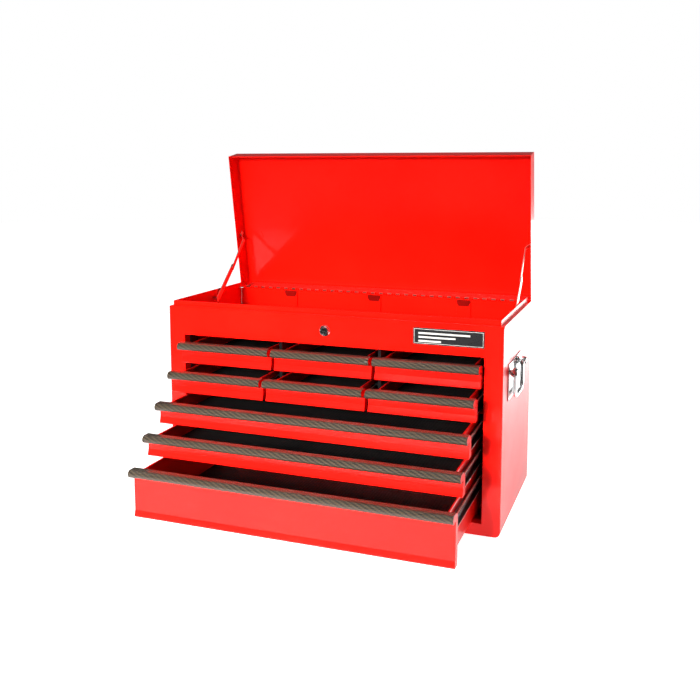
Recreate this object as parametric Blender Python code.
"""Steel tool chest with a lift-up lid: nine drawers on slides under a shallow till.

The chest stands on its base with its front towards -Y and its width along X. The origin is
the middle of the base. Each drawer stands at its own opening and the lid stands open on
two folding stays.
"""

import math

import bmesh
import bpy
from mathutils import Vector

# ---- overall sizes, in metres
WIDTH = 0.660            # outside width of the cabinet
DEPTH = 0.305            # outside depth of the cabinet
SHEET = 0.001            # cabinet, lid and drawer sheet
GAP = 0.0003             # clearance between pieces that rest on each other
BEND = 0.010             # outside radius of the folded lower corners
ARC_STEPS = 5            # straight sides in a quarter of a bend

# ---- front frame
STILE = 0.033            # width of the stile at each side of the opening
BOTTOM_RAIL = 0.022      # height of the rail under the opening
TOP_RAIL = 0.0555        # height of the rail over the opening
RETURN_DEPTH = 0.020     # how far the edges of the opening fold back
LEDGE = 0.006            # flat ledge that the lid closes onto
RIM_HEIGHT = 0.010       # rim that stands up inside the ledge
RIM_THICKNESS = 0.002    # the rim is folded double

# ---- drawers
SHALLOW_FRONT = 0.0413   # height of a shallow drawer's front
DEEP_FRONT = 0.091       # height of the bottom drawer's front
ROW_GAP = 0.0078         # between one front and the next
FLOOR_CLEARANCE = 0.0015 # under the bottom front
CEILING_CLEARANCE = 0.0106  # over the top front
SIDE_CLEARANCE = 0.0027  # between a front and the stile
COLUMN_GAP = 0.0065      # between small drawers side by side
COLUMNS = 3
PULL_REACH = 0.0195      # how far the rolled pull stands out of the front
PULL_HEIGHT = 0.0145     # height of the rolled pull
TRIM_THICKNESS = 0.0008  # patterned strip wrapped round the pull
FRONT_TAIL = 0.006       # folded front's underside ends this far before its face
TRIM_TAIL = 0.008        # cover's underside ends this far before the front's face
KICK_HEIGHT = 0.012      # lower band of a front, which leans out
KICK_REACH = 0.0035
FRONT_RETURN = 0.014     # side folds of a front
HEM = 0.008              # fold under a front
BOX_INSET = 0.0123       # from the end of a front to its box's side
BOX_RAISE = 0.006        # box floor over the bottom of its front
BOX_DROP = 0.004         # box side under the top of its front
BACK_CLEARANCE = 0.030   # behind a closed drawer
ROLL = 0.004             # width of the rolled top of a box side
ROLL_HEIGHT = 0.003
LINER_THICKNESS = 0.002
LINER_MARGIN = 0.001
TRAVEL = 0.200           # how far a drawer pulls out
OPENINGS = [0.015, 0.0515, 0.097, 0.139, 0.186]  # each row from the top, as it stands

# ---- slides
SLIDE_SPACE = 0.0127     # between a box's side and what carries the fixed rail
SLIDE_LENGTH = 0.250
RAIL_HEIGHT = 0.027
RUNNER_HEIGHT = 0.0205
RAIL_SHEET = 0.0012
SLIDE_DROP = 0.0240      # from the top of a front to the middle of its slides
RAIL_REACH = 0.0068      # how far the fixed rail's lips reach
RUNNER_REACH = 0.0090    # how far the runner's lips reach
POST_DEPTH = 0.025       # slide posts, along Y
POST_CLEARANCE = 0.012   # posts stand this far over the base
POST_SETBACK = 0.001     # posts behind the front frame's return
RUNNER_SETBACK = 0.004   # runners start this far before the return's depth
RAIL_SETBACK = 0.0005    # fixed rails behind the front frame's return
WELD = 0.0002            # depth to which welded pieces run into each other

# ---- lid and hinge
LID_DEPTH = 0.041        # outside height of the lid's flange
LID_GAP = 0.0005         # between the ledge and the closed lid
LID_LIP = 0.0024         # fold along the front flange's free edge
LID_INSET = 0.003        # the lid's front edge behind the cabinet's
LID_OPEN = math.radians(80.2)
PIN_INSET = 0.0035       # hinge pin in front of the cabinet's back edge
PIN_DROP = 0.0005        # hinge pin under the ledge
PANEL_SETBACK = 0.0011   # back panel behind the hinge pin
BRACE_LEAD = 0.0027      # braces in front of the hinge pin
PIN_RADIUS = 0.0010
KNUCKLE_RADIUS = 0.0022
KNUCKLE_BORE = 0.00145
KNUCKLE_LENGTH = 0.0095
HINGE_MARGIN = 0.006     # hinge stops this far inside the side walls
LEAF_SHEET = 0.001
LEAF_WIDTH = 0.0175
LEAF_CLEAR = 0.0028      # leaf's edge from the pin, clear of the other leaf's knuckles
PANEL_DROP = 0.0042      # back panel's top under the pin

# ---- till and inside structure
TILL_RISE = 0.0025       # till floor over the opening
TILL_WALL = 0.012
BRACE_WIDTH = 0.030
BRACE_SHEET = 0.0015
BRACE_SPACING = 0.197    # one brace to the next
BRACE_SHIFT = -0.006     # middle brace beside the centre line
BRACE_LENGTH = 0.066
SHELF_SHEET = 0.001

# ---- stays
STAY_PIVOT = 0.127       # lower pivot in front of the hinge pin
STAY_PIVOT_DROP = 0.011  # lower pivot under the ledge
STAY_LID_ALONG = 0.1174  # upper pivot from the hinge pin, along the lid
STAY_LID_UP = 0.024      # upper pivot over the flange's free edge
STAY_SPLIT = 0.5         # share of the span taken by the lower link
STAY_SAG = 0.0042        # middle joint behind the straight line
STAY_SHEET = 0.0015
STAY_LOWER_WIDTH = 0.013
STAY_UPPER_WIDTH = 0.009
STAY_END = 0.006         # link's end past its pivot
STAY_RIM_GAP = 0.0022    # lower link inside the rim
STAY_TAB = 0.005         # upper link's flat tab on the lid
STAY_RAMP = 0.016        # where the upper link reaches its inner plane
STAY_SPACER = 0.004      # radius of the lower pivot's spacer

# ---- lock and badge
LOCK_DROP = 0.028        # lock under the ledge
LOCK_RADIUS = 0.009
LOCK_FLANGE = 0.0112
LOCK_NOSE = 0.007        # how far the lock stands out of the rail
LOCK_FLANGE_THICKNESS = 0.003
LOCK_DEPTH = 0.014       # barrel behind the rail
LOCK_CLEARANCE = 0.0003
PLUG_RADIUS = 0.0058
CAM_LENGTH = 0.024
CAM_WIDTH = 0.011
CAM_SHEET = 0.002
BADGE_WIDTH = 0.128
BADGE_HEIGHT = 0.030
BADGE_THICKNESS = 0.0012
BADGE_DROP = 0.0250      # badge's middle under the ledge

# ---- side handles
HANDLE_Y = -0.040        # middle of the handle along Y
HANDLE_DROP = 0.092      # bail's axis under the ledge
HANDLE_PLATE = 0.130     # plate along Y
HANDLE_PLATE_RISE = 0.016    # plate over the bail's axis
HANDLE_PLATE_FALL = 0.050    # plate under the bail's axis
HANDLE_SHEET = 0.0015
EAR_RADIUS = 0.0072
EAR_BORE = 0.0046
EAR_LENGTH = 0.014
EAR_MARGIN = 0.008       # ears inside the plate's ends
BAIL_RADIUS = 0.0040
BAIL_CLEARANCE = 0.0006
BAIL_DROP = 0.048
BAIL_BEND = 0.014
BAIL_SIDES = 8

# ---- places worked out from the sizes above
FRONT_Y = -DEPTH / 2
BACK_Y = DEPTH / 2
HALF_WIDTH = WIDTH / 2
OPENING_HALF = HALF_WIDTH - STILE
OPENING_FLOOR = BOTTOM_RAIL
FRONTS_HALF = OPENING_HALF - SIDE_CLEARANCE
SMALL_WIDTH = (2 * FRONTS_HALF - (COLUMNS - 1) * COLUMN_GAP) / COLUMNS
COLUMN_PITCH = SMALL_WIDTH + COLUMN_GAP
ROW_PITCH = SHALLOW_FRONT + ROW_GAP
ROWS = len(OPENINGS)
DEEP_TOP = OPENING_FLOOR + FLOOR_CLEARANCE + DEEP_FRONT
OPENING_TOP = DEEP_TOP + (ROWS - 1) * ROW_PITCH + CEILING_CLEARANCE
LEDGE_Z = OPENING_TOP + TOP_RAIL
RIM_TOP = LEDGE_Z + RIM_HEIGHT
PIN_Y = BACK_Y - PIN_INSET
PIN_Z = LEDGE_Z - PIN_DROP
BOX_LENGTH = DEPTH - BACK_CLEARANCE
POST_FRONT_Y = FRONT_Y + RETURN_DEPTH + POST_SETBACK
RUNNER_START = RETURN_DEPTH - RUNNER_SETBACK
RAIL_START = FRONT_Y + RETURN_DEPTH + RAIL_SETBACK
PANEL_Y = PIN_Y + PANEL_SETBACK
POST_BACK_Y = PANEL_Y - 3 * SHEET
TILL_Z = OPENING_TOP + TILL_RISE
BRACE_Y = PIN_Y - BRACE_LEAD
WALL_FACE = FRONTS_HALF - BOX_INSET + SLIDE_SPACE

MATERIALS = {
    "red_paint": ((0.62, 0.012, 0.010), 0.25, 0.0),
    "twill_trim": ((0.13, 0.115, 0.095), 0.35, 0.0),
    "black_slide": ((0.012, 0.012, 0.014), 0.40, 0.6),
    "black_liner": ((0.010, 0.010, 0.011), 0.80, 0.0),
    "bright_steel": ((0.62, 0.60, 0.58), 0.25, 1.0),
    "chrome": ((0.80, 0.80, 0.80), 0.12, 1.0),
    "badge": ((0.015, 0.015, 0.016), 0.35, 0.0),
}


def clear_scene():
    """Remove what the file held before."""
    for old in list(bpy.data.objects):
        bpy.data.objects.remove(old, do_unlink=True)


def material(name):
    """One Principled material for each finish."""
    found = bpy.data.materials.get(name)
    if found:
        return found
    colour, roughness, metallic = MATERIALS[name]
    made = bpy.data.materials.new(name)
    made.use_nodes = True
    shader = made.node_tree.nodes["Principled BSDF"]
    shader.inputs["Base Color"].default_value = (*colour, 1.0)
    shader.inputs["Roughness"].default_value = roughness
    shader.inputs["Metallic"].default_value = metallic
    return made


# ---- outlines -------------------------------------------------------------------------

def arc(centre, radius, start, stop, steps=ARC_STEPS):
    """Points on a circle from one angle, in degrees, to another."""
    turns = [math.radians(start + (stop - start) * i / steps) for i in range(steps + 1)]
    return [(centre[0] + radius * math.cos(t), centre[1] + radius * math.sin(t)) for t in turns]


def ribbon(path, thickness):
    """Closed outline of a folded sheet whose middle follows the path, mitred at its folds."""
    points = [Vector(p) for p in path]
    left, right = [], []
    for i, point in enumerate(points):
        before = (point - points[i - 1]).normalized() if i else None
        after = (points[i + 1] - point).normalized() if i < len(points) - 1 else None
        before = before or after
        after = after or before
        side_a = Vector((-before.y, before.x))
        side_b = Vector((-after.y, after.x))
        middle = (side_a + side_b).normalized()
        reach = thickness / 2 / max(middle.dot(side_a), 0.3)
        left.append(tuple(point + middle * reach))
        right.append(tuple(point - middle * reach))
    return left + right[::-1]


def place(axis, pair, along):
    """A 3-D point from an outline's pair and its place along the extrusion's axis."""
    u, v = pair
    return {"X": (along, u, v), "Y": (u, along, v), "Z": (u, v, along)}[axis]


# ---- solids ---------------------------------------------------------------------------

def finish_mesh(name, mesh_data, finish, origin=(0, 0, 0), parent=None, smooth=None):
    """Turn a bmesh into an object whose mesh is measured from its origin."""
    bmesh.ops.recalc_face_normals(mesh_data, faces=mesh_data.faces)
    bmesh.ops.translate(mesh_data, verts=mesh_data.verts, vec=-Vector(origin))
    mesh = bpy.data.meshes.new(name)
    mesh_data.to_mesh(mesh)
    mesh_data.free()
    mesh.materials.append(material(finish))
    if smooth:
        mesh.shade_smooth()
        mesh.set_sharp_from_angle(angle=math.radians(smooth))
    made = bpy.data.objects.new(name, mesh)
    bpy.context.collection.objects.link(made)
    if parent:
        made.parent = parent
    else:
        made.location = origin
    return made


def prism_mesh(outline, axis, start, stop, into=None):
    """An outline pushed along an axis, as a closed solid."""
    mesh_data = into or bmesh.new()
    ends = []
    for along in (start, stop):
        ends.append([mesh_data.verts.new(place(axis, pair, along)) for pair in outline])
    mesh_data.faces.new(ends[0])
    mesh_data.faces.new(ends[1][::-1])
    count = len(outline)
    for i in range(count):
        j = (i + 1) % count
        mesh_data.faces.new((ends[0][j], ends[0][i], ends[1][i], ends[1][j]))
    return mesh_data


def box_outline(low, high):
    """A rectangle's corners."""
    return [(low[0], low[1]), (high[0], low[1]), (high[0], high[1]), (low[0], high[1])]


def block_mesh(low, high, into=None):
    """A box between two corners."""
    return prism_mesh(box_outline(low[:2], high[:2]), "Z", low[2], high[2], into)


def prism(name, outline, axis, start, stop, finish, **options):
    return finish_mesh(name, prism_mesh(outline, axis, start, stop), finish, **options)


def block(name, low, high, finish, **options):
    return finish_mesh(name, block_mesh(low, high), finish, **options)


def cylinder_mesh(centre, radius, axis, start, stop, sides, into=None):
    """A round bar along an axis; centre is the pair across it."""
    ring = arc(centre, radius, 0, 360, sides)[:-1]
    return prism_mesh(ring, axis, start, stop, into)


def tray_mesh(low, high, wall, floor, into=None):
    """A box open on its +Z side, with walls and a floor."""
    mesh_data = into or bmesh.new()
    outer = [mesh_data.verts.new((x, y, z)) for z in (low[2], high[2])
             for x, y in box_outline(low[:2], high[:2])]
    inner_low = (low[0] + wall, low[1] + wall)
    inner_high = (high[0] - wall, high[1] - wall)
    inner = [mesh_data.verts.new((x, y, z)) for z in (low[2] + floor, high[2])
             for x, y in box_outline(inner_low, inner_high)]
    mesh_data.faces.new(outer[:4])
    mesh_data.faces.new(inner[:4])
    for i in range(4):
        j = (i + 1) % 4
        mesh_data.faces.new((outer[i], outer[j], outer[j + 4], outer[i + 4]))
        mesh_data.faces.new((inner[i], inner[j], inner[j + 4], inner[i + 4]))
        mesh_data.faces.new((outer[i + 4], outer[j + 4], inner[j + 4], inner[i + 4]))
    return mesh_data


def combine(target, tool, operation):
    """Add to or cut from a solid with another one, which stays as a hidden guide."""
    tool.hide_render = True
    tool.display_type = "WIRE"
    change = target.modifiers.new(operation.lower(), "BOOLEAN")
    change.operation = operation
    change.solver = "EXACT"
    change.use_self = True
    change.object = tool
    return target


def cut(target, tool):
    return combine(target, tool, "DIFFERENCE")


def join(target, tool):
    return combine(target, tool, "UNION")


def empty_at(name, location, turn=0.0):
    """An axis that runs along X, turned about X."""
    axis = bpy.data.objects.new(name, None)
    axis.location = location
    axis.rotation_euler.x = turn
    axis.hide_render = True
    bpy.context.collection.objects.link(axis)
    return axis


# ---- cabinet --------------------------------------------------------------------------

def front_frame():
    """Face sheet with its big opening, folded edges, and the ledge and rim along its top."""
    top = LEDGE_Z - SHEET
    corner = HALF_WIDTH - BEND
    outline = arc((-corner, BEND), BEND, 180, 270) + arc((corner, BEND), BEND, 270, 360)
    outline += [(HALF_WIDTH, top), (-HALF_WIDTH, top)]
    frame = prism("front_frame", outline, "Y", FRONT_Y, FRONT_Y + SHEET, "red_paint")
    rim_y = FRONT_Y + LEDGE
    ledge = [(FRONT_Y, LEDGE_Z - 3 * SHEET), (FRONT_Y + SHEET, LEDGE_Z - 3 * SHEET),
             (FRONT_Y + SHEET, top), (rim_y + RIM_THICKNESS, top),
             (rim_y + RIM_THICKNESS, LEDGE_Z), (FRONT_Y, LEDGE_Z)]
    join(frame, prism("frame_ledge", ledge, "X", -HALF_WIDTH, HALF_WIDTH, "red_paint"))
    rim_half = HALF_WIDTH - LEDGE
    join(frame, block("frame_rim", (-rim_half, rim_y, top - SHEET / 2),
                      (rim_half, rim_y + RIM_THICKNESS, RIM_TOP), "red_paint"))
    folds_low = (-OPENING_HALF - SHEET, FRONT_Y + SHEET / 2, OPENING_FLOOR - SHEET)
    folds_high = (OPENING_HALF + SHEET, FRONT_Y + RETURN_DEPTH, OPENING_TOP + SHEET)
    join(frame, block("frame_folds", folds_low, folds_high, "red_paint"))
    hole_low = (-OPENING_HALF, FRONT_Y - RETURN_DEPTH, OPENING_FLOOR)
    hole_high = (OPENING_HALF, FRONT_Y + 2 * RETURN_DEPTH, OPENING_TOP)
    cut(frame, block("frame_hole", hole_low, hole_high, "red_paint"))
    bore = cylinder_mesh((0, LEDGE_Z - LOCK_DROP), LOCK_RADIUS + LOCK_CLEARANCE, "Y",
                         FRONT_Y - RETURN_DEPTH, FRONT_Y + RETURN_DEPTH, 4 * ARC_STEPS)
    cut(frame, finish_mesh("lock_hole", bore, "red_paint"))


def cabinet_wrap():
    """Sides and floor folded from one sheet, with a ledge and a double rim along each side."""
    inner = BEND - SHEET
    corner = HALF_WIDTH - BEND
    rim_out = HALF_WIDTH - LEDGE
    rim_in = rim_out - RIM_THICKNESS
    right = arc((corner, BEND), BEND, 270, 360)
    right += [(HALF_WIDTH, LEDGE_Z), (rim_out, LEDGE_Z), (rim_out, RIM_TOP), (rim_in, RIM_TOP),
              (rim_in, LEDGE_Z - SHEET), (HALF_WIDTH - SHEET, LEDGE_Z - SHEET)]
    right += arc((corner, BEND), inner, 360, 270)
    left = [(-x, z) for x, z in right]
    count = len(arc((0, 0), 1, 0, 90))
    outer_left = left[:count][::-1]
    rest_left = left[count:][::-1]
    outline = outer_left + right + rest_left
    start = FRONT_Y + SHEET + GAP
    wrap = prism("cabinet_wrap", outline, "Y", start, BACK_Y, "red_paint", smooth=40)
    notch = bmesh.new()
    front_top = FRONT_Y + LEDGE + RIM_THICKNESS + GAP
    knuckle_y = PIN_Y - KNUCKLE_RADIUS - GAP
    inside = HALF_WIDTH - 2 * BEND
    outside = HALF_WIDTH + SHEET
    hinge_end = HALF_WIDTH - HINGE_MARGIN + GAP
    over = RIM_TOP + RIM_HEIGHT
    for reach, low_y, high_y, low_z in (
            (outside, start - SHEET, front_top, LEDGE_Z - 3 * SHEET - GAP),
            (hinge_end, knuckle_y, BACK_Y, PIN_Z - KNUCKLE_RADIUS - GAP),
            (outside, PIN_Y - PIN_RADIUS / 2, BACK_Y + SHEET, PIN_Z - PANEL_DROP)):
        for side in (-1, 1):
            ends = sorted((side * inside, side * reach))
            block_mesh((ends[0], low_y, low_z), (ends[1], high_y, over), notch)
    cut(wrap, finish_mesh("wrap_notches", notch, "red_paint"))


def back_panel():
    """Back sheet between the sides, its lower corners following their bends."""
    half = HALF_WIDTH - SHEET - GAP
    low = SHEET + GAP
    radius = BEND - SHEET - GAP
    corner = half - radius
    outline = arc((-corner, low + radius), radius, 180, 270)
    outline += arc((corner, low + radius), radius, 270, 360)
    top = PIN_Z - PANEL_DROP
    outline += [(half, top), (-half, top)]
    prism("back_panel", outline, "Y", PANEL_Y, PANEL_Y + SHEET, "red_paint")


def till_floor():
    """Shallow tray that closes the top of the drawer space."""
    half = HALF_WIDTH - SHEET - GAP
    low = (-half, FRONT_Y + SHEET + GAP, TILL_Z)
    high = (half, BRACE_Y - BRACE_SHEET / 2 - GAP, TILL_Z + TILL_WALL)
    finish_mesh("till_floor", tray_mesh(low, high, SHEET, SHEET), "red_paint")


def back_braces():
    """Three upright strips on the inside of the back, each with a hem along both edges."""
    for name, place_x in zip(("left", "middle", "right"), (-1, 0, 1)):
        middle = BRACE_SHIFT + place_x * BRACE_SPACING
        half = BRACE_WIDTH / 2
        front = BRACE_Y - BRACE_SHEET / 2
        back = BRACE_Y + BRACE_SHEET / 2
        top = PIN_Z - LEAF_CLEAR - GAP
        outline = [(middle - half, front), (middle + half, front), (middle + half, back),
                   (middle - half, back)]
        prism(f"back_brace_{name}", outline, "Z", top - BRACE_LENGTH, top, "red_paint")


# ---- slides and what carries them -----------------------------------------------------

def rail_outline(wall_x, towards, middle_z):
    """Fixed rail: a channel whose web sits in its wall and whose lips reach to the drawer."""
    half = RAIL_HEIGHT / 2 - RAIL_SHEET / 2
    web = wall_x - towards * RAIL_SHEET * 0.2
    tip = wall_x + towards * RAIL_REACH
    path = [(tip, middle_z - half), (web, middle_z - half), (web, middle_z + half),
            (tip, middle_z + half)]
    return ribbon(path, RAIL_SHEET)


def runner_outline(box_x, towards, middle_z, inset=GAP):
    """Runner: a narrower channel on the drawer's side, its lips inside the rail's."""
    half = RUNNER_HEIGHT / 2 - RAIL_SHEET / 2
    web = box_x + towards * (RAIL_SHEET / 2 + inset)
    tip = box_x + towards * RUNNER_REACH
    path = [(tip, middle_z - half), (web, middle_z - half), (web, middle_z + half),
            (tip, middle_z + half)]
    return ribbon(path, RAIL_SHEET)


def row_top(row):
    """Top of a row's front; row 0 is the highest."""
    return DEEP_TOP + (ROWS - 1 - row) * ROW_PITCH


def slide_z(row):
    return row_top(row) - SLIDE_DROP


def slide_racks():
    """Two upright channels at each side, carrying one fixed rail for each row."""
    for side, name in ((-1, "left"), (1, "right")):
        face = side * WALL_FACE
        web = face + side * (RAIL_SHEET / 2 + WELD)
        outer = side * (HALF_WIDTH - SHEET - GAP - SHEET / 2)
        height = (POST_CLEARANCE, OPENING_TOP + SHEET)
        posts = []
        for start, turn in ((POST_FRONT_Y, 1), (POST_BACK_Y, -1)):
            back = start + turn * POST_DEPTH
            path = [(outer, back), (outer, start), (web, start), (web, back)]
            posts.append(ribbon(path, SHEET))
        rack = prism(f"slide_rack_{name}", posts[0], "Z", *height, "black_slide")
        extras = prism_mesh(posts[1], "Z", *height)
        for row in range(ROWS):
            outline = rail_outline(face, -side, slide_z(row))
            prism_mesh(outline, "Y", RAIL_START, POST_BACK_Y - SHEET, extras)
        join(rack, finish_mesh(f"rack_parts_{name}", merged(extras), "black_slide"))


def merged(mesh_data):
    """Point every face of a group of closed solids outwards."""
    bmesh.ops.recalc_face_normals(mesh_data, faces=mesh_data.faces)
    return mesh_data


def shelf_top():
    """Top of the shelf under the two rows of small drawers."""
    return row_top(2) + ROW_GAP / 2 + SHELF_SHEET / 2


def mid_shelf():
    """Sheet between the small drawers and the wide ones, which carries the partitions."""
    low = (-WALL_FACE + GAP, POST_FRONT_Y, shelf_top() - SHELF_SHEET)
    high = (WALL_FACE - GAP, PANEL_Y - GAP, shelf_top())
    block("mid_shelf", low, high, "red_paint")


def partitions():
    """Two upright partitions between the columns, with fixed rails on both faces."""
    small_box = SMALL_WIDTH / 2 - BOX_INSET
    wall = small_box + SLIDE_SPACE
    for side, name in ((-1, "left"), (1, "right")):
        middle = side * COLUMN_PITCH / 2
        half = COLUMN_PITCH / 2 - wall
        low = (middle - half, POST_FRONT_Y, shelf_top() + GAP)
        high = (middle + half, POST_BACK_Y, TILL_Z - GAP)
        partition = block(f"partition_{name}", low, high, "black_slide")
        rails = bmesh.new()
        for row in range(2):
            for face in (-1, 1):
                outline = rail_outline(middle + face * half, face, slide_z(row))
                prism_mesh(outline, "Y", RAIL_START + SHEET, POST_BACK_Y - SHEET, rails)
        join(partition, finish_mesh(f"partition_rails_{name}", merged(rails), "black_slide"))


# ---- drawers --------------------------------------------------------------------------

def pull_path(height, reach, radius, lift, tail):
    """Side view of the pull's sheet: along its top, round its nose and back under."""
    nose = (-(reach - radius), height - radius)
    path = [(lift, height)] + arc(nose, radius, 90, 270, 2 * ARC_STEPS)
    return path + [(tail, height - 2 * radius)]


def front_path(height):
    """Side view of a drawer front's sheet, from its lower hem to the end of its pull."""
    half = SHEET / 2
    skin = TRIM_THICKNESS + GAP
    path = [(HEM, half), (-KICK_REACH + half, half), (half, KICK_HEIGHT)]
    radius = PULL_HEIGHT / 2 - skin - half
    pull = pull_path(height - skin - half, PULL_REACH - skin - half, radius, half, -FRONT_TAIL)
    return path + pull


def end_outline(height):
    """Side view of a front's end plate, out to the trim's surface."""
    radius = PULL_HEIGHT / 2
    nose = (-(PULL_REACH - radius), height - radius)
    outline = [(FRONT_RETURN, 0), (-KICK_REACH, 0), (0, KICK_HEIGHT), (0, height - 2 * radius)]
    outline += arc(nose, radius, 270, 90, 2 * ARC_STEPS)
    return outline + [(FRONT_RETURN, height)]


def drawer(name, middle, width, row, height, separate_runners):
    """One drawer: its box with front and pull, its trim, its liner and its runners."""
    bottom = row_top(row) - height
    origin = Vector((middle, FRONT_Y - OPENINGS[row], bottom))
    half = width / 2
    box_half = half - BOX_INSET
    rim = height - BOX_DROP
    pan = bmesh.new()
    prism_mesh(ribbon(front_path(height), SHEET), "X", -half + SHEET / 2, half - SHEET / 2, pan)
    body = finish_mesh(f"drawer_{name}", pan, "red_paint", smooth=35)
    body.location = origin
    parts = bmesh.new()
    for end in (-1, 1):
        ends = sorted((end * half, end * (half - SHEET)))
        prism_mesh(end_outline(height), "X", ends[0], ends[1], parts)
    merged(parts)
    plates = finish_mesh(f"ends_{name}", parts, "red_paint")
    plates.location = origin
    join(body, plates)
    tray = tray_mesh((-box_half, SHEET / 2, BOX_RAISE), (box_half, BOX_LENGTH, rim), SHEET, SHEET)
    box = finish_mesh(f"box_{name}", tray, "red_paint")
    box.location = origin
    join(body, box)
    rolls = bmesh.new()
    middle_z = height - SLIDE_DROP
    for end in (-1, 1):
        ends = sorted((end * (box_half - SHEET / 2), end * (box_half - ROLL)))
        block_mesh((ends[0], 2 * SHEET, rim - ROLL_HEIGHT),
                   (ends[1], BOX_LENGTH - SHEET / 2, rim - SHEET / 5), rolls)
        if not separate_runners:
            outline = runner_outline(end * (box_half - SHEET / 2), end, middle_z, 0)
            prism_mesh(outline, "Y", RUNNER_START, RUNNER_START + SLIDE_LENGTH, rolls)
    merged(rolls)
    extra = finish_mesh(f"rolls_{name}", rolls, "red_paint")
    extra.location = origin
    join(body, extra)
    trim_half = half - SHEET - GAP
    skin = TRIM_THICKNESS / 2
    path = pull_path(height - skin, PULL_REACH - skin, PULL_HEIGHT / 2 - skin, SHEET / 2, -TRIM_TAIL)
    strip = prism(f"pull_trim_{name}", ribbon(path, TRIM_THICKNESS), "X", -trim_half, trim_half,
                  "twill_trim", smooth=35)
    strip.location = origin
    side = box_half - SHEET - LINER_MARGIN
    floor = BOX_RAISE + SHEET + GAP
    liner = block(f"liner_{name}", (-side, 1.5 * SHEET + LINER_MARGIN, floor),
                  (side, BOX_LENGTH - SHEET - LINER_MARGIN, floor + LINER_THICKNESS), "black_liner")
    liner.location = origin
    if separate_runners:
        for end, label in ((-1, "left"), (1, "right")):
            outline = runner_outline(end * box_half, end, middle_z)
            runner = prism(f"runner_{name}_{label}", outline, "Y", RUNNER_START,
                           RUNNER_START + SLIDE_LENGTH, "black_slide")
            runner.location = origin


def drawers():
    """Two rows of three small drawers over two shallow wide ones and a deep one."""
    for row in range(2):
        for column, label in enumerate(("left", "middle", "right")):
            middle = (column - (COLUMNS - 1) / 2) * COLUMN_PITCH
            drawer(f"{row + 1}_{label}", middle, SMALL_WIDTH, row, SHALLOW_FRONT, False)
    for row in range(2, ROWS):
        height = DEEP_FRONT if row == ROWS - 1 else SHALLOW_FRONT
        drawer(f"{row + 1}", 0.0, 2 * FRONTS_HALF, row, height, True)


# ---- lid and hinge --------------------------------------------------------------------

def knuckle_spans():
    """Start and stop of each knuckle along X; even ones belong to the cabinet."""
    half = HALF_WIDTH - HINGE_MARGIN
    count = 2 * round(half / KNUCKLE_LENGTH) + 1
    pitch = 2 * half / count
    return [(-half + i * pitch + GAP / 2, -half + (i + 1) * pitch - GAP / 2) for i in range(count)]


def hinge_leaf(name, first, plate, tab, finish, parent=None):
    """Plate with a tab and a hollow knuckle at every second place; plates are (y, z) pairs."""
    spans = knuckle_spans()
    half = HALF_WIDTH - HINGE_MARGIN
    leaf_mesh = prism_mesh(box_outline(*plate), "X", -half, half)
    options = {"parent": parent} if parent else {"origin": (0, PIN_Y, PIN_Z)}
    leaf = finish_mesh(name, leaf_mesh, finish)
    knuckles = bmesh.new()
    for start, stop in spans[first::2]:
        prism_mesh(box_outline(*tab), "X", start, stop, knuckles)
    merged(knuckles)
    barrels = bmesh.new()
    bores = bmesh.new()
    for start, stop in spans[first::2]:
        cylinder_mesh((0, 0), KNUCKLE_RADIUS, "X", start, stop, 6, barrels)
    cylinder_mesh((0, 0), KNUCKLE_BORE, "X", -half - SHEET, half + SHEET, 6, bores)
    merged(barrels)
    tools = [finish_mesh(f"{name}_tabs", knuckles, finish),
             finish_mesh(f"{name}_barrels", barrels, finish),
             finish_mesh(f"{name}_bore", bores, finish)]
    join(leaf, tools[0])
    join(leaf, tools[1])
    cut(leaf, tools[2])
    for piece in [leaf] + tools:
        if parent:
            piece.parent = parent
        else:
            piece.location = options["origin"]


def hinge(lid_axis):
    """Full-width piano hinge: two leaves with interleaved knuckles on one pin."""
    near = -WELD
    plate = ((near, -LEAF_WIDTH), (near + LEAF_SHEET, -LEAF_CLEAR))
    tab = ((near, -LEAF_CLEAR - SHEET / 2), (near + LEAF_SHEET, -KNUCKLE_RADIUS / 2))
    hinge_leaf("hinge_leaf_cabinet", 0, plate, tab, "red_paint")
    far = PIN_INSET - SHEET - GAP
    plate = ((far - LEAF_SHEET, LEAF_CLEAR - GAP), (far, LEAF_WIDTH))
    tab = ((far - LEAF_SHEET, 0), (far - WELD, LEAF_CLEAR))
    hinge_leaf("hinge_leaf_lid", 1, plate, tab, "bright_steel", lid_axis)
    half = HALF_WIDTH - HINGE_MARGIN
    pin = cylinder_mesh((0, 0), PIN_RADIUS, "X", -half, half, 6)
    made = finish_mesh("hinge_pin", pin, "bright_steel")
    made.location = (0, PIN_Y, PIN_Z)


def lid(lid_axis):
    """Shallow pan that closes over the rim, measured from the hinge pin as if shut."""
    free_edge = LID_GAP + PIN_DROP
    low = (-HALF_WIDTH, FRONT_Y + LID_INSET - PIN_Y, -free_edge - LID_DEPTH)
    high = (HALF_WIDTH, PIN_INSET, -free_edge)
    pan = tray_mesh(low, high, SHEET, SHEET)
    bmesh.ops.scale(pan, vec=(1, 1, -1), verts=pan.verts)
    made = finish_mesh("lid", pan, "red_paint", parent=lid_axis)
    lip_half = HALF_WIDTH - 2 * SHEET
    lip = block("lid_lip", (-lip_half, low[1] + SHEET / 2, free_edge),
                (lip_half, low[1] + LID_LIP, free_edge + SHEET), "red_paint", parent=lid_axis)
    join(made, lip)


# ---- stays ----------------------------------------------------------------------------

def turned(pair, angle):
    """A (y, z) pair from the hinge pin, turned as the lid opens."""
    c, s = math.cos(angle), math.sin(angle)
    return Vector((pair[0] * c + pair[1] * s, -pair[0] * s + pair[1] * c))


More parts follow.
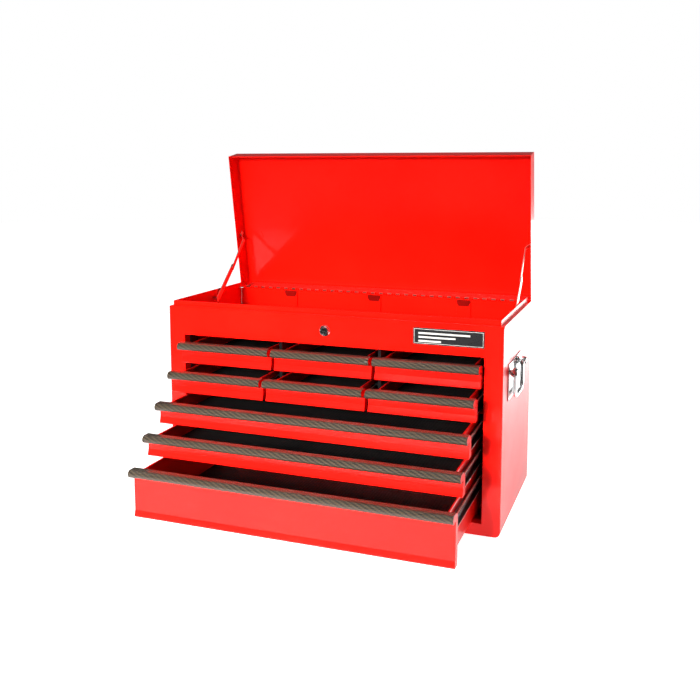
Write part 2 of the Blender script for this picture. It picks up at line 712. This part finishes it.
def stay_points():
    """Lower pivot, middle joint and upper pivot, in the (y, z) plane, as the lid stands."""
    pin = Vector((PIN_Y, PIN_Z))
    lower = Vector((PIN_Y - STAY_PIVOT, LEDGE_Z - STAY_PIVOT_DROP))
    shut = (-STAY_LID_ALONG, STAY_LID_UP + LID_GAP + PIN_DROP)
    upper = pin + turned(shut, LID_OPEN)
    span = upper - lower
    behind = Vector((span.y, -span.x)).normalized()
    middle = lower + span * STAY_SPLIT + behind * STAY_SAG
    return lower, middle, upper


def stays():
    """Two flat links at each side, joined in the middle, which hold the open lid."""
    lower, middle, upper = stay_points()
    for side, name in ((-1, "left"), (1, "right")):
        rim_in = HALF_WIDTH - LEDGE - RIM_THICKNESS
        wall_in = HALF_WIDTH - SHEET - GAP
        outer = rim_in - STAY_RIM_GAP
        reach = (middle - lower).length
        aim = math.atan2(middle.y - lower.y, middle.x - lower.x)
        half = STAY_LOWER_WIDTH / 2
        outline = arc((0, 0), half, 90, 270, 6) + arc((reach, 0), half, 270, 450, 6)
        ends = sorted((side * outer, side * (outer - STAY_SHEET)))
        link = prism(f"stay_lower_{name}", outline, "X", ends[0], ends[1], "bright_steel")
        ends = sorted((side * (outer - STAY_SHEET / 2), side * wall_in))
        spacer = cylinder_mesh((0, 0), STAY_SPACER, "X", ends[0], ends[1], 10)
        post = finish_mesh(f"stay_spacer_{name}", spacer, "bright_steel")
        join(link, post)
        for piece in (link, post):
            piece.location = (0, lower.x, lower.y)
            piece.rotation_euler.x = aim
        reach = (middle - upper).length
        aim = math.atan2(middle.y - upper.y, middle.x - upper.x)
        tab = wall_in - STAY_SHEET / 2
        inner = outer - STAY_SHEET - GAP - STAY_SHEET / 2
        path = [(side * tab, -STAY_END), (side * tab, STAY_TAB), (side * inner, STAY_RAMP),
                (side * inner, reach + STAY_END)]
        half = STAY_UPPER_WIDTH / 2
        link = prism(f"stay_upper_{name}", ribbon(path, STAY_SHEET), "Z", -half, half,
                     "bright_steel")
        link.location = (0, upper.x, upper.y)
        link.rotation_euler.x = aim


# ---- lock, badge and handles ----------------------------------------------------------

def lock():
    """Chrome lock barrel through the top rail, and the plug that turns in it with its cam."""
    centre = (0, LEDGE_Z - LOCK_DROP)
    face = FRONT_Y - GAP
    sides = 4 * ARC_STEPS
    back = FRONT_Y + SHEET + LOCK_DEPTH
    body = cylinder_mesh(centre, LOCK_FLANGE, "Y", face - LOCK_FLANGE_THICKNESS, face, sides)
    barrel = finish_mesh("lock_barrel", body, "chrome", smooth=40)
    nose = cylinder_mesh(centre, LOCK_RADIUS, "Y", FRONT_Y - LOCK_NOSE, back, sides)
    join(barrel, finish_mesh("lock_nose", nose, "chrome"))
    bore = cylinder_mesh(centre, PLUG_RADIUS + LOCK_CLEARANCE, "Y", FRONT_Y - 2 * LOCK_NOSE,
                         back + SHEET, sides)
    cut(barrel, finish_mesh("lock_bore", bore, "chrome"))
    plug_face = FRONT_Y - LOCK_NOSE + SHEET / 2
    plug = cylinder_mesh((0, 0), PLUG_RADIUS, "Y", plug_face, back + GAP + CAM_SHEET / 2, sides)
    made = finish_mesh("lock_plug", plug, "chrome", smooth=40)
    half = CAM_WIDTH / 2
    cam = prism("lock_cam", box_outline((-half, -half), (CAM_LENGTH, half)), "Y",
                back + GAP, back + GAP + CAM_SHEET, "chrome")
    slot = block("key_slot", (-PLUG_RADIUS / 2, plug_face - SHEET, -SHEET / 2),
                 (PLUG_RADIUS / 2, plug_face + 3 * SHEET, SHEET / 2), "chrome")
    join(made, cam)
    cut(made, slot)
    for piece in (made, cam, slot):
        piece.location = (0, 0, centre[1])


def badge():
    """Plain plate at the right end of the top rail."""
    right = OPENING_HALF
    middle = LEDGE_Z - BADGE_DROP
    block("badge_plate", (right - BADGE_WIDTH, FRONT_Y - GAP - BADGE_THICKNESS,
                          middle - BADGE_HEIGHT / 2),
          (right, FRONT_Y - GAP, middle + BADGE_HEIGHT / 2), "badge")


def bail_route(span):
    """Middle line of a bail: ends along Y in the ears, legs down and a grip between them."""
    leg = span / 2 - EAR_LENGTH - BAIL_CLEARANCE - BAIL_RADIUS
    turn = 1.2 * BAIL_RADIUS
    route = [(leg + BAIL_RADIUS + EAR_LENGTH * 0.7, 0.0)]
    route += arc((leg + turn, -turn), turn, 90, 180, 3)
    route += arc((leg - BAIL_BEND, BAIL_BEND - BAIL_DROP), BAIL_BEND, 0, -90, 4)
    return route + [(-y, z) for y, z in route[::-1]]


def sweep_tube(route, radius, sides):
    """Round bar along a route in the (y, z) plane, with a ring across each bend's middle."""
    points = [Vector(p) for p in route]
    mesh_data = bmesh.new()
    rings = []
    for i, point in enumerate(points):
        before = (point - points[max(i - 1, 0)])
        after = (points[min(i + 1, len(points) - 1)] - point)
        way = (before.normalized() + after.normalized()).normalized()
        across = Vector((-way.y, way.x))
        ring = []
        for k in range(sides):
            turn = 2 * math.pi * k / sides
            flat = point + across * (radius * math.cos(turn))
            ring.append(mesh_data.verts.new((radius * math.sin(turn), flat.x, flat.y)))
        rings.append(ring)
    for a, b in zip(rings, rings[1:]):
        for k in range(sides):
            j = (k + 1) % sides
            mesh_data.faces.new((a[k], a[j], b[j], b[k]))
    mesh_data.faces.new(rings[0][::-1])
    mesh_data.faces.new(rings[-1])
    return mesh_data


def handles():
    """A plate with two ears on each side wall, and a drop bail that swings in them."""
    axis_z = LEDGE_Z - HANDLE_DROP
    half = HANDLE_PLATE / 2
    span = HANDLE_PLATE - 2 * EAR_MARGIN
    for side, name in ((-1, "left"), (1, "right")):
        wall = HALF_WIDTH + GAP
        ends = sorted((side * wall, side * (wall + HANDLE_SHEET)))
        low = (ends[0], HANDLE_Y - half, axis_z - HANDLE_PLATE_FALL)
        high = (ends[1], HANDLE_Y + half, axis_z + HANDLE_PLATE_RISE)
        plate = block(f"handle_plate_{name}", low, high, "chrome")
        axis_x = side * (wall + HANDLE_SHEET * 0.7 + EAR_RADIUS)
        ears = bmesh.new()
        bores = bmesh.new()
        for end in (-1, 1):
            reach = sorted((HANDLE_Y + end * span / 2, HANDLE_Y + end * (span / 2 - EAR_LENGTH)))
            cylinder_mesh((axis_x, axis_z), EAR_RADIUS, "Y", reach[0], reach[1], 10, ears)
            cylinder_mesh((axis_x, axis_z), EAR_BORE, "Y", reach[0] - SHEET, reach[1] + SHEET,
                          8, bores)
        join(plate, finish_mesh(f"ears_{name}", merged(ears), "chrome"))
        cut(plate, finish_mesh(f"ear_bores_{name}", merged(bores), "chrome"))
        bail = finish_mesh(f"handle_bail_{name}",
                           sweep_tube(bail_route(span), BAIL_RADIUS, BAIL_SIDES), "chrome",
                           smooth=60)
        bail.location = (axis_x, HANDLE_Y, axis_z)


def build():
    clear_scene()
    front_frame()
    cabinet_wrap()
    back_panel()
    till_floor()
    back_braces()
    slide_racks()
    mid_shelf()
    partitions()
    drawers()
    lid_axis = empty_at("lid_axis", (0, PIN_Y, PIN_Z), -LID_OPEN)
    hinge(lid_axis)
    lid(lid_axis)
    stays()
    lock()
    badge()
    handles()


build()
